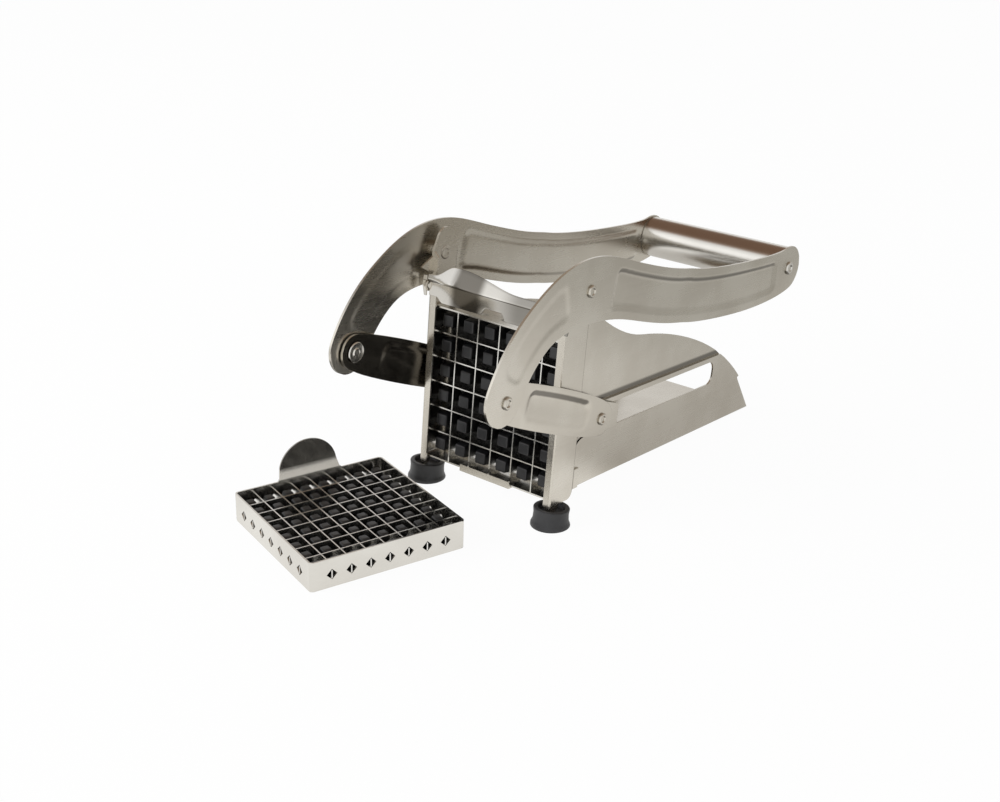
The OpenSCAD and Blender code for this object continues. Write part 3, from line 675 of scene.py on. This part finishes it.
# %% Middle line and width of an arm
PIVOT = Vector((4.4, 101.6))           # Y and Z of the handle's pivot
GRIP = Vector((201.5, 81.7))           # Y and Z of the middle of the grip
CRANK_REACH, CRANK_TURN = 69.0, math.radians(215)
CRANK = PIVOT + CRANK_REACH * Vector((math.cos(CRANK_TURN), math.sin(CRANK_TURN)))
WAIST = Vector(((PIVOT.x + GRIP.x) / 2 - 12.2, GRIP.y + 3.2))
STEPS = 16                             # stations along each of the three curves
ARM_END, SWELL, NECK, TAPER = 12.4, 3.0, 1.8, 1.2    # half width of the end, and its changes


def bezier(*points):
    """Points along a cubic curve with four control points."""
    a, b, c, d = points
    made = []
    for i in range(STEPS + 1):
        t = i / STEPS
        u = 1 - t
        made.append(u * u * u * a + 3 * u * u * t * b + 3 * u * t * t * c + t * t * t * d)
    return made


def ramp(value, low, high):
    """0 below low, 1 above high and a smooth ramp between them."""
    t = min(1, max(0, (value - low) / (high - low)))
    return t * t * (3 - 2 * t)


def arm_width(part):
    """Half width of an arm, at a part of 0 to 3 of its three curves."""
    return (ARM_END + SWELL * ramp(part, 0.5, 1) - NECK * ramp(part, 1, 1.5)
            - TAPER * ramp(part, 2.5, 3))


arm_path = bezier(CRANK + Vector((-2, 1.6)), CRANK + Vector((5.7, 20.2)),
                  PIVOT + Vector((-31, 0)), PIVOT)
arm_path += bezier(PIVOT, PIVOT + Vector((24.8, 0)), WAIST + Vector((-35.5, 4.2)), WAIST)[1:]
arm_path += bezier(WAIST, WAIST + Vector((20.8, -4.7)), GRIP + Vector((-18, -5.6)), GRIP)[1:]
arm_half = [arm_width(i / STEPS) for i in range(len(arm_path))]
print(f"arm: {len(arm_path)} stations, {2 * min(arm_half):.1f} to {2 * max(arm_half):.1f} mm wide")

# %% [markdown]
# The blank is drawn as by hand: one edge is extruded from station to station along the line,
# turned and resized at each, and smoothed. Its ends are half circles, which are only more
# stations that grow narrower.

# %% Stations of a strip, with round ends
CAPS = 8                               # steps of a round end
CAP = CAPS - 1                         # stations of a round end


def stations(path, half):
    """Middle, direction across and half width of each station, round ends included."""
    def across(i):
        ahead = (path[min(i + 1, len(path) - 1)] - path[max(i - 1, 0)]).normalized()
        return Vector((-ahead.y, ahead.x))

    def round_end(i, outwards):
        way = across(i)
        turns = [math.pi / 2 * number / CAPS for number in range(1, CAPS)]
        return [(path[i] + outwards * half[i] * math.sin(turn) * Vector((way.y, -way.x)), way,
                 half[i] * math.cos(turn)) for turn in turns]

    along = [(path[i], across(i), half[i]) for i in range(len(path))]
    return round_end(0, -1)[::-1] + along + round_end(len(path) - 1, 1)


# %% A strip through its stations
def strip(name, x, along, rows=6):
    """Extrudes one divided edge through all stations, in the plane at x, and smooths it."""
    middle, way, half = along[0]
    let_go()
    bpy.ops.mesh.primitive_plane_add(size=2 * half * MM, rotation=(0, math.pi / 2, 0),
                                     location=(x * MM, middle.x * MM, (middle.y - half) * MM))
    piece = named(name)
    pick(piece, "VERT", lambda p: p.z < middle.y - half)
    bpy.ops.mesh.delete(type="VERT")
    bpy.ops.mesh.select_all(action="SELECT")
    bpy.ops.mesh.select_mode(type="EDGE")
    bpy.ops.mesh.select_all(action="SELECT")
    bpy.ops.mesh.subdivide(number_cuts=rows - 1)
    here, facing, wide = middle, Vector((1, 0)), half
    for number, (middle, way, half) in enumerate(along):
        if number:
            step = (middle - here) * MM
            bpy.ops.mesh.extrude_region_move(
                TRANSFORM_OT_translate={"value": (0, step.x, step.y)})
        centre = (x * MM, middle.x * MM, middle.y * MM)
        turn = math.atan2(facing.x * way.y - facing.y * way.x, facing.dot(way))
        if abs(turn) > 1e-6:
            bpy.ops.transform.rotate(value=-turn, orient_axis="X", center_override=centre)
        if abs(half / wide - 1) > 1e-6:
            bpy.ops.transform.resize(value=(1, half / wide, half / wide), center_override=centre)
        here, facing, wide = middle, way, half
    bpy.ops.object.mode_set(mode="OBJECT")
    if piece.data.polygons[0].normal.x < 0:
        bpy.ops.object.mode_set(mode="EDIT")
        bpy.ops.mesh.select_all(action="SELECT")
        bpy.ops.mesh.flip_normals()
        bpy.ops.object.mode_set(mode="OBJECT")
    modify(piece, "SUBSURF", levels=2, render_levels=2)
    return piece


# %% [markdown]
# Two panels are pressed into each arm to stiffen it. They could be cut into a solid, but a
# pressed panel has a soft wall that no sharp step shows. A Displace modifier moves each point
# by its weight, as a die moves the sheet, and the weight falls off over the wall and round
# the corners. A link's panel also fades out towards one long side.

# %% Pressing a panel
def press_panel(piece, along, margin, depth, wall, corner, fade=0):
    """Presses a stretch of stations inwards, with a soft wall and round corners. Each point is
    weighed by how far it lies inside the panel, and a Displace modifier moves it by that."""
    runs = [0.0]
    for (a, _, _), (b, _, _) in zip(along, along[1:]):
        runs.append(runs[-1] + (b - a).length)
    group = piece.vertex_groups.new(name="pressed")
    for vertex in piece.data.vertices:
        spot = Vector((vertex.co.y, vertex.co.z)) / MM
        i = min(range(len(along)), key=lambda i: (along[i][0] - spot).length)
        middle, way, half = along[i]
        ahead = Vector((way.y, -way.x))
        run = runs[i] + (spot - middle).dot(ahead)
        from_end = max(corner - min(run, runs[-1] - run), 0)
        from_side = max(corner - (half - margin - abs((spot - middle).dot(way))), 0)
        inside = corner - math.hypot(from_end, from_side)
        faded = fade * ramp(-(spot - middle).dot(way) / half, -0.4, 0.8)
        share = ramp(inside, 0, wall) * (1 - faded)
        if share:
            group.add([vertex.index], share, "REPLACE")
    modify(piece, "DISPLACE", direction="X", strength=-depth * MM, mid_level=0,
           vertex_group="pressed")
    piece.vertex_groups.clear()
    print(f"{piece.name}: panel {runs[-1]:.0f} mm long, pressed {depth} mm deep")


# %% [markdown]
# Solidify gives the blank its thickness. The left side is the right one mirrored: a negative
# scale turns a piece inside out, so its faces are turned outwards again.

# %% Both arms
ARM_IN, ARM_OUT = 44.4, 45.6           # inner and outer face of an arm
ARM_SHEET = 1.2                        # thickness of the arms and links


def thicken(piece):
    modify(piece, "SOLIDIFY", thickness=ARM_SHEET * MM, offset=-1)
    face_outwards(piece)
    round_edges(piece, 0.25, angle=60)


def mirrored(piece, name):
    """The same piece for the left side, with its own mesh."""
    let_go()
    twin = bpy.data.objects.new(name, piece.data.copy())
    twin.data.name = name
    bpy.context.collection.objects.link(twin)
    seat(twin, Matrix.Scale(-1, 4, (1, 0, 0)))
    face_outwards(twin)
    shade(twin)
    return twin


arm_along = stations(arm_path, arm_half)
right_arm = strip("arm_right_sheet", ARM_OUT, arm_along)
press_panel(right_arm, arm_along[CAP + STEPS + 4:CAP + 3 * STEPS - 2],
            margin=4.6, depth=0.8, wall=1.8, corner=4)
press_panel(right_arm, arm_along[CAP + 2:CAP + STEPS - 2],
            margin=5.2, depth=0.35, wall=2.6, corner=5)
thicken(right_arm)
left_arm = mirrored(right_arm, "arm_left_sheet")
for arm, finish, node in ((right_arm, satin, "arm_right"), (left_arm, left_satin, "arm_left")):
    seat(arm, in_cutter)
    fasten(arm, "handle", finish, node)

# %% [markdown]
# ## Links
# A link is a short strip that joins the arm to the pusher, pressed much deeper than the arm
# for its size. The same strip and panel tools make it.

# %% Both links
PIN = Vector((27.3, 34.7))             # Y and Z of the pin on the pusher's carrier
LINK_IN, LINK_OUT = 42.4, 43.6         # inner and outer face of a link
LINK_END, LINK_SWELL = 8.5, 2.2        # half width of its ends, and how much its middle adds
LINK_STEPS = 14
link_path = [CRANK + (PIN - CRANK) * i / LINK_STEPS for i in range(LINK_STEPS + 1)]
link_half = [LINK_END] + [LINK_END + LINK_SWELL * math.sqrt(math.sin(math.pi * i / LINK_STEPS))
                          for i in range(1, LINK_STEPS)] + [LINK_END]
link_along = stations(link_path, link_half)
right_link = strip("link_right_sheet", LINK_OUT, link_along)
press_panel(right_link, link_along[CAP + 3:CAP + LINK_STEPS - 1],
            margin=2.2, depth=1.1, wall=3.4, corner=5, fade=0.85)
thicken(right_link)
left_link = mirrored(right_link, "link_left_sheet")
for link, finish, node in ((right_link, satin, "link_right"),
                           (left_link, left_link_steel, "link_left")):
    seat(link, in_cutter)
    fasten(link, "links", finish, node)

# %% [markdown]
# ## Round pieces
# Rivets, the rod of the grip and feet are all turned shapes. A profile could be spun round an
# axis, but a disc that is extruded and resized step by step gives closed ends at once and
# needs no pole. Every profile is a list of steps: distance along the axis and radius.

# %% Turning
def turned(name, steps, place, axis, sides=40, edge=0.15, segments=2):
    """A round piece along an axis from a place, both in millimetres."""
    (far, radius), *rest = steps
    let_go()
    bpy.ops.mesh.primitive_circle_add(vertices=sides, radius=radius * MM, fill_type="NGON",
                                      location=(0, 0, far * MM))
    piece = named(name)
    bpy.ops.object.mode_set(mode="EDIT")
    bpy.ops.mesh.select_mode(type="FACE")
    bpy.ops.mesh.select_all(action="SELECT")
    for distance, wide in rest:
        bpy.ops.mesh.extrude_region_move(
            TRANSFORM_OT_translate={"value": (0, 0, (distance - far) * MM)})
        bpy.ops.transform.resize(value=(wide / radius, wide / radius, 1),
                                 center_override=(0, 0, distance * MM))
        far, radius = distance, wide
    bpy.ops.object.mode_set(mode="OBJECT")
    face_outwards(piece)
    round_edges(piece, edge, angle=35, segments=segments)
    turn = Vector(axis).to_track_quat("Z", "Y").to_matrix().to_4x4()
    seat(piece, Matrix.Translation(Vector(place) * MM) @ turn)
    return piece


# %% Pairs
def joined(name, *parts):
    """Makes one piece of several."""
    let_go()
    for part in parts:
        part.select_set(True)
    bpy.context.view_layer.objects.active = parts[0]
    bpy.ops.object.join()
    parts[0].name = parts[0].data.name = name
    return parts[0]


def both_sides(name, steps, x, spot):
    """A turned piece on the right that points outwards, and its twin on the left."""
    right_one = turned(name, steps, (x, spot.x, spot.y), (1, 0, 0), edge=0.12)
    twin = mirrored(right_one, name + "_twin")
    return joined(name, right_one, twin)


# %% [markdown]
# A rivet is a plain shank with a low head, whose rim is rolled over and whose middle is
# punched in. The pivot rivets have a flat second head inside the posts. The others end in the
# piece that they hold.

# %% Rivets
SHANK, HEAD, INNER_HEAD, INNER_HEIGHT = 2.2, 3.0, 3.3, 0.4
EAR_IN = 40.8                          # inner face of the carrier's ears


def head(radius, height=1.2, hollow=1.7):
    """The steps of a rivet head with a rolled rim, from its seat to the bottom of its hollow."""
    return [(0, radius), (height * 0.55, radius), (height, radius * 0.82), (height, hollow),
            (height * 0.5, hollow * 0.8)]


def backwards(steps):
    """The same steps on the other side of their start."""
    return [(-distance, radius) for distance, radius in reversed(steps)]


def rivet(inner, outer, inside=False):
    """The steps of a rivet from its inner to its outer end."""
    length = outer - inner
    foot = backwards(head(INNER_HEAD, INNER_HEIGHT)) if inside else [(0, SHANK)]
    return foot + [(0, SHANK), (length, SHANK)] + [(length + d, r) for d, r in head(HEAD)]


for name, steps, x, spot, body, node in (
        ("pivot_rivet_pair", rivet(POST_IN, ARM_OUT, inside=True), POST_IN, PIVOT,
         "housing", "pivot_rivets"),
        ("crank_rivet_pair", rivet(ARM_IN, ARM_OUT), ARM_IN, CRANK, "handle", "crank_rivets"),
        ("carrier_rivet_pair", rivet(EAR_IN, LINK_OUT), EAR_IN, PIN,
         "pusher", "carrier_rivets")):
    pair = both_sides(name, steps, x, spot)
    seat(pair, in_cutter)
    fasten(pair, body, satin, node)

# %% [markdown]
# Where a link turns on the crank it has an eyelet with a wide rolled ring on its inner face.
# The ring is the same kind of profile with more steps. The flat washers under the arms and the
# discs at the ends of the grip are plain enough to keep their solids.

# %% Eyelets and washers
RING = [(0, 2.2), (0.2, 2.2), (0.2, 4.4), (0.5, 5.1), (1.0, 4.6), (0.7, 3.6), (0.7, 2.4),
        (1.3, 1.9), (0.9, 1.2)]
eyelet = both_sides("link_eyelet_pair", backwards(RING), LINK_IN, CRANK)
seat(eyelet, in_cutter)
fasten(eyelet, "links", bright, "link_eyelets")

for node in ("pivot_washers", "grip_discs"):
    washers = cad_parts[node]
    coat(washers, satin)
    print(f"{node}: {len(washers.data.polygons)} faces")

# %% [markdown]
# ## Grip
# The grip is a length of polished tube between the arms, held by a rod with a flat head on
# each side. A tube is an open cylinder with a wall and rolled ends: the wall comes from
# Solidify, the soft ends from a bevel.

# %% Tube
TUBE_RADIUS, TUBE_LENGTH, TUBE_WALL = 11.5, 88.6, 1.0
let_go()
bpy.ops.mesh.primitive_cylinder_add(vertices=96, radius=TUBE_RADIUS * MM,
                                    depth=TUBE_LENGTH * MM, end_fill_type="NOTHING",
                                    rotation=(0, math.pi / 2, 0),
                                    location=(0, GRIP.x * MM, GRIP.y * MM))
tube = named("grip_tube_sheet")
modify(tube, "SOLIDIFY", thickness=TUBE_WALL * MM, offset=-1)
face_outwards(tube)
round_edges(tube, 0.4, angle=60, segments=3)
seat(tube, in_cutter)
fasten(tube, "handle", polished, "grip_tube")

# %% Rod
ROD = 2.6                              # radius of the rod
rod_head = [(ARM_OUT + d, r) for d, r in head(3.6, 1.2, 1.9)]
rod_steps = backwards(rod_head) + [(-ARM_OUT, ROD), (ARM_OUT, ROD)] + rod_head
rod = turned("grip_rod_round", rod_steps, (0, GRIP.x, GRIP.y), (1, 0, 0))
seat(rod, in_cutter)
fasten(rod, "handle", bright, "grip_rod")

# %% [markdown]
# ## Feet
# Each foot is a rubber cup with a wider sole and a hollow top that the leg of the frame sits
# in. The cutter leans, so the foot is turned upright, set in place, and then cut off level
# with the table.

# %% Both feet
FOOT_X = 38.5                          # a foot's distance from the middle
FOOT_STEPS = [(-16, 9.5), (-12.4, 9.5), (-11.4, 9.1), (-10.4, 8.6), (-7, 8.4), (-4.6, 8.7),
              (-4.0, 8.4), (-4.0, 6.6), (-6.4, 6.0)]
# The left foot gets the darker rubber: painted shade.
for x, finish, node in ((FOOT_X, black_rubber, "foot_right"),
                        (-FOOT_X, shaded_rubber, "foot_left")):
    foot = turned(node + "_cup", FOOT_STEPS, (x, 0, 0), (0, 0, 1), sides=56, edge=0.35,
                  segments=3)
    seat(foot, in_cutter)
    bpy.ops.object.mode_set(mode="EDIT")
    bpy.ops.mesh.select_all(action="SELECT")
    bpy.ops.mesh.bisect(plane_co=(0, 0, 0), plane_no=(0, 0, 1), use_fill=True,
                        clear_inner=True)
    bpy.ops.object.mode_set(mode="OBJECT")
    fasten(foot, "housing", finish, node)

# %% [markdown]
# ## Stud blocks
# A block carries one tapered stud for each cell. One stud is shaped from a cube: its face is
# drawn in and its edges rounded, so that each stud catches a small highlight. Two Array
# modifiers then repeat it across and up, and a base plate closes the block.

# %% One block of studs
BASE = 2.1                             # thickness of the base plate
BASE_WIDTH, BASE_MARGIN = 73.2, 2.7    # its width, and how far it stays inside the field
SUNK = 0.2                             # how far the root of a stud is sunk into the base


def stud_block(name, cells, face, root, length, soft):
    """Studs that point along -Y from a base whose front lies at Y = 0, in millimetres."""
    pitch = FIELD / cells
    low = -FIELD / 2 + pitch / 2
    let_go()
    bpy.ops.mesh.primitive_cube_add(
        size=1, location=(low * MM, -length / 2 * MM, pitch / 2 * MM),
        scale=(root * MM, (length + SUNK) * MM, root * MM))
    studs = named(name)
    pick(studs, "FACE", lambda c, n: n.y < -0.9)
    bpy.ops.transform.resize(value=(face / root, 1, face / root),
                             center_override=(low * MM, 0, pitch / 2 * MM))
    pick(studs, "EDGE", lambda a, b: min(a.y, b.y) < -length + 1)
    bpy.ops.mesh.bevel(offset=soft * MM, segments=3, affect="EDGES", profile=0.5)
    pick(studs, "FACE", lambda c, n: n.y > 0.9)
    bpy.ops.mesh.delete(type="FACE")
    shade(studs)
    for way in ((pitch * MM, 0, 0), (0, 0, pitch * MM)):
        modify(studs, "ARRAY", count=cells, use_relative_offset=False, use_constant_offset=True,
               constant_offset_displace=way)
    let_go()
    bpy.ops.mesh.primitive_cube_add(
        size=1, location=(0, BASE / 2 * MM, FIELD / 2 * MM),
        scale=(BASE_WIDTH * MM, BASE * MM, (FIELD - 2 * BASE_MARGIN) * MM))
    base = named(name + "_base")
    round_edges(base, 0.4, segments=3)
    return joined(name, base, studs)


# %% [markdown]
# The fitted block stands just behind the blades. The spare one lies on the table inside the
# spare cassette with its studs up, so it is mirrored front to back, and its studs end a little
# below the upper edges of the blades.

# %% The fitted block and the spare one
BLADE_DEPTH = 8.8
BLOCK_GAP = 0.4                        # from the back of the blades to the fitted base
STUDS_SHORT = 0.6                      # from the spare studs up to the edges of the blades
block = stud_block("stud_block_36", 6, face=6.0, root=7.4, length=8.9, soft=0.75)
seat(block, in_cutter @ Matrix.Translation((0, (BLADE_DEPTH + BLOCK_GAP) * MM, 0)))
fasten(block, "pusher", black_plastic, "pusher_block_36")

spare_length = FRAME_FRONT + BLADE_DEPTH - BASE - STUDS_SHORT
spare_block = stud_block("stud_block_64", 8, face=4.4, root=5.6, length=spare_length, soft=0.9)
seat(spare_block, in_spare @ Matrix.Translation((0, -FRAME_FRONT * MM, 0))
     @ Matrix.Scale(-1, 4, (0, 1, 0)) @ Matrix.Translation((0, -BASE * MM, 0)))
face_outwards(spare_block)
fasten(spare_block, "spare_block", black_plastic, "pusher_block_64")

# %% Screws behind the block
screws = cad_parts["block_screws"]
coat(screws, bright)
print(f"block_screws: {len(screws.data.polygons)} faces")

# %% [markdown]
# ## Clip
# The clip that holds the cassette is one strip of bright sheet: a skirt with a notch that
# hangs in front of the cassette, a rounded bend along the hinge line, and a thumb flange that
# rises in a wave on the left. A grid is the right start, because every column of it can be
# made longer or shorter by itself.

# %% The strip of the clip, still flat
HINGE = Vector((-6.2, FIELD + 10.8))   # Y and Z of the hinge line
CLIP_HALF = POST_IN - 0.3              # half the width of the strip
COLUMNS = 96
SKIRT_ROWS, BEND_ROWS, FLANGE_ROWS = 5, 4, 4
ROWS = SKIRT_ROWS + BEND_ROWS + FLANGE_ROWS
HEM = 1.8                              # height above the hinge line at which the bend begins
BEND_STEP = 0.3                        # length of a row of the bend
LEDGE, THUMB = 4.5, 5.3                # height of the flange, and what the thumb flange adds
SKIRT, SHOULDER, NOTCH = 7, 2.5, 3.6   # drop of the skirt, and what its ends and notch take


def flange_height(x):
    return LEDGE + THUMB * ramp(x, -35.4, -27.5) * (1 - ramp(x, -22, 13))


def skirt_drop(x):
    return (SKIRT - SHOULDER * ramp(abs(x), 30.6, 34.2)
            - NOTCH * (1 - ramp(abs(x), 4.2, 7.8)))


def row_height(x, row):
    """Height of a row above the hinge line while the strip is still flat."""
    if row <= SKIRT_ROWS:
        return -skirt_drop(x) + (skirt_drop(x) + HEM) * row / SKIRT_ROWS
    if row <= SKIRT_ROWS + BEND_ROWS:
        return HEM + BEND_STEP * (row - SKIRT_ROWS)
    bend = BEND_STEP * BEND_ROWS
    return (HEM + bend
            + (flange_height(x) - bend) * (row - SKIRT_ROWS - BEND_ROWS) / FLANGE_ROWS)


let_go()
bpy.ops.mesh.primitive_grid_add(x_subdivisions=COLUMNS, y_subdivisions=ROWS, size=2,
                                rotation=(math.pi / 2, 0, 0))
bpy.context.object.scale = (CLIP_HALF * MM, MM, 1)
clip = named("clip_sheet")
for vertex in clip.data.vertices:
    row = round((vertex.co.z / MM + 1) * ROWS / 2)
    vertex.co.z = row_height(vertex.co.x / MM, row) * MM
print(f"clip: {len(clip.data.vertices)} points in {ROWS + 1} rows")

# %% [markdown]
# The bend is rolled row by row: everything above a row turns about that row by a few degrees.
# The left end of the flange is then drawn a little forward, so that it catches the light.

# %% Bend of the clip
CLIP_SHEET = 0.8                       # its thickness
CLIP_LEAN = 30                         # degrees that the flange leans back from upright
DRAWN_FROM, DRAWN = -25, 0.2           # where the left end starts, and how much it comes forward
lean_step = math.radians(CLIP_LEAN / BEND_ROWS)
centre, leaning = Vector((0, HEM)), 0.0
for _ in range(BEND_ROWS):
    pick(clip, "VERT", lambda p: p.z > centre.y + 0.05)
    bpy.ops.transform.rotate(value=lean_step, orient_axis="X",
                             center_override=(0, centre.x * MM, centre.y * MM))
    leaning += lean_step
    centre = centre + BEND_STEP * Vector((math.sin(leaning), math.cos(leaning)))
bpy.ops.object.mode_set(mode="OBJECT")
for vertex in clip.data.vertices:
    x, _, z = vertex.co / MM
    vertex.co.y -= DRAWN * max(0, DRAWN_FROM - x) * ramp(z, HEM, HEM + 2.5) * MM
modify(clip, "SOLIDIFY", thickness=CLIP_SHEET * MM, offset=0)
face_outwards(clip)
round_edges(clip, 0.2, angle=50)
print(f"clip: bent back {CLIP_LEAN} degrees in {BEND_ROWS} steps")

# %% [markdown]
# The arrow heads outside the posts are flat plates with five corners, and two short pins join
# them to the skirt.

# %% Arrow heads and pins of the clip
ARROW = ((40.6, -5.3), (42.1, -5.3), (43.4, 0), (42.8, 4.6), (40.6, 4.8))    # X and Z
PIN_FROM, PIN_LENGTH, PIN_RADIUS = 38.6, 2.4, 1.45
heads = []
for way in (1, -1):
    let_go()
    bpy.ops.mesh.primitive_circle_add(vertices=len(ARROW), radius=1, fill_type="NGON")
    for vertex, (x, z) in zip(bpy.context.object.data.vertices, ARROW):
        vertex.co = Vector((way * x, 0, z)) * MM
    arrow = named("arrow")
    modify(arrow, "SOLIDIFY", thickness=CLIP_SHEET * MM, offset=0)
    face_outwards(arrow)
    round_edges(arrow, 0.2)
    pin = turned("pin", [(0, PIN_RADIUS), (PIN_LENGTH, PIN_RADIUS)], (way * PIN_FROM, 0, 0),
                 (way, 0, 0), sides=24)
    heads += [arrow, pin]
clip = joined("clip_sheet", clip, *heads)
seat(clip, in_cutter @ Matrix.Translation((0, HINGE.x * MM, HINGE.y * MM)))
fasten(clip, "clip", clip_steel, "retaining_clip")
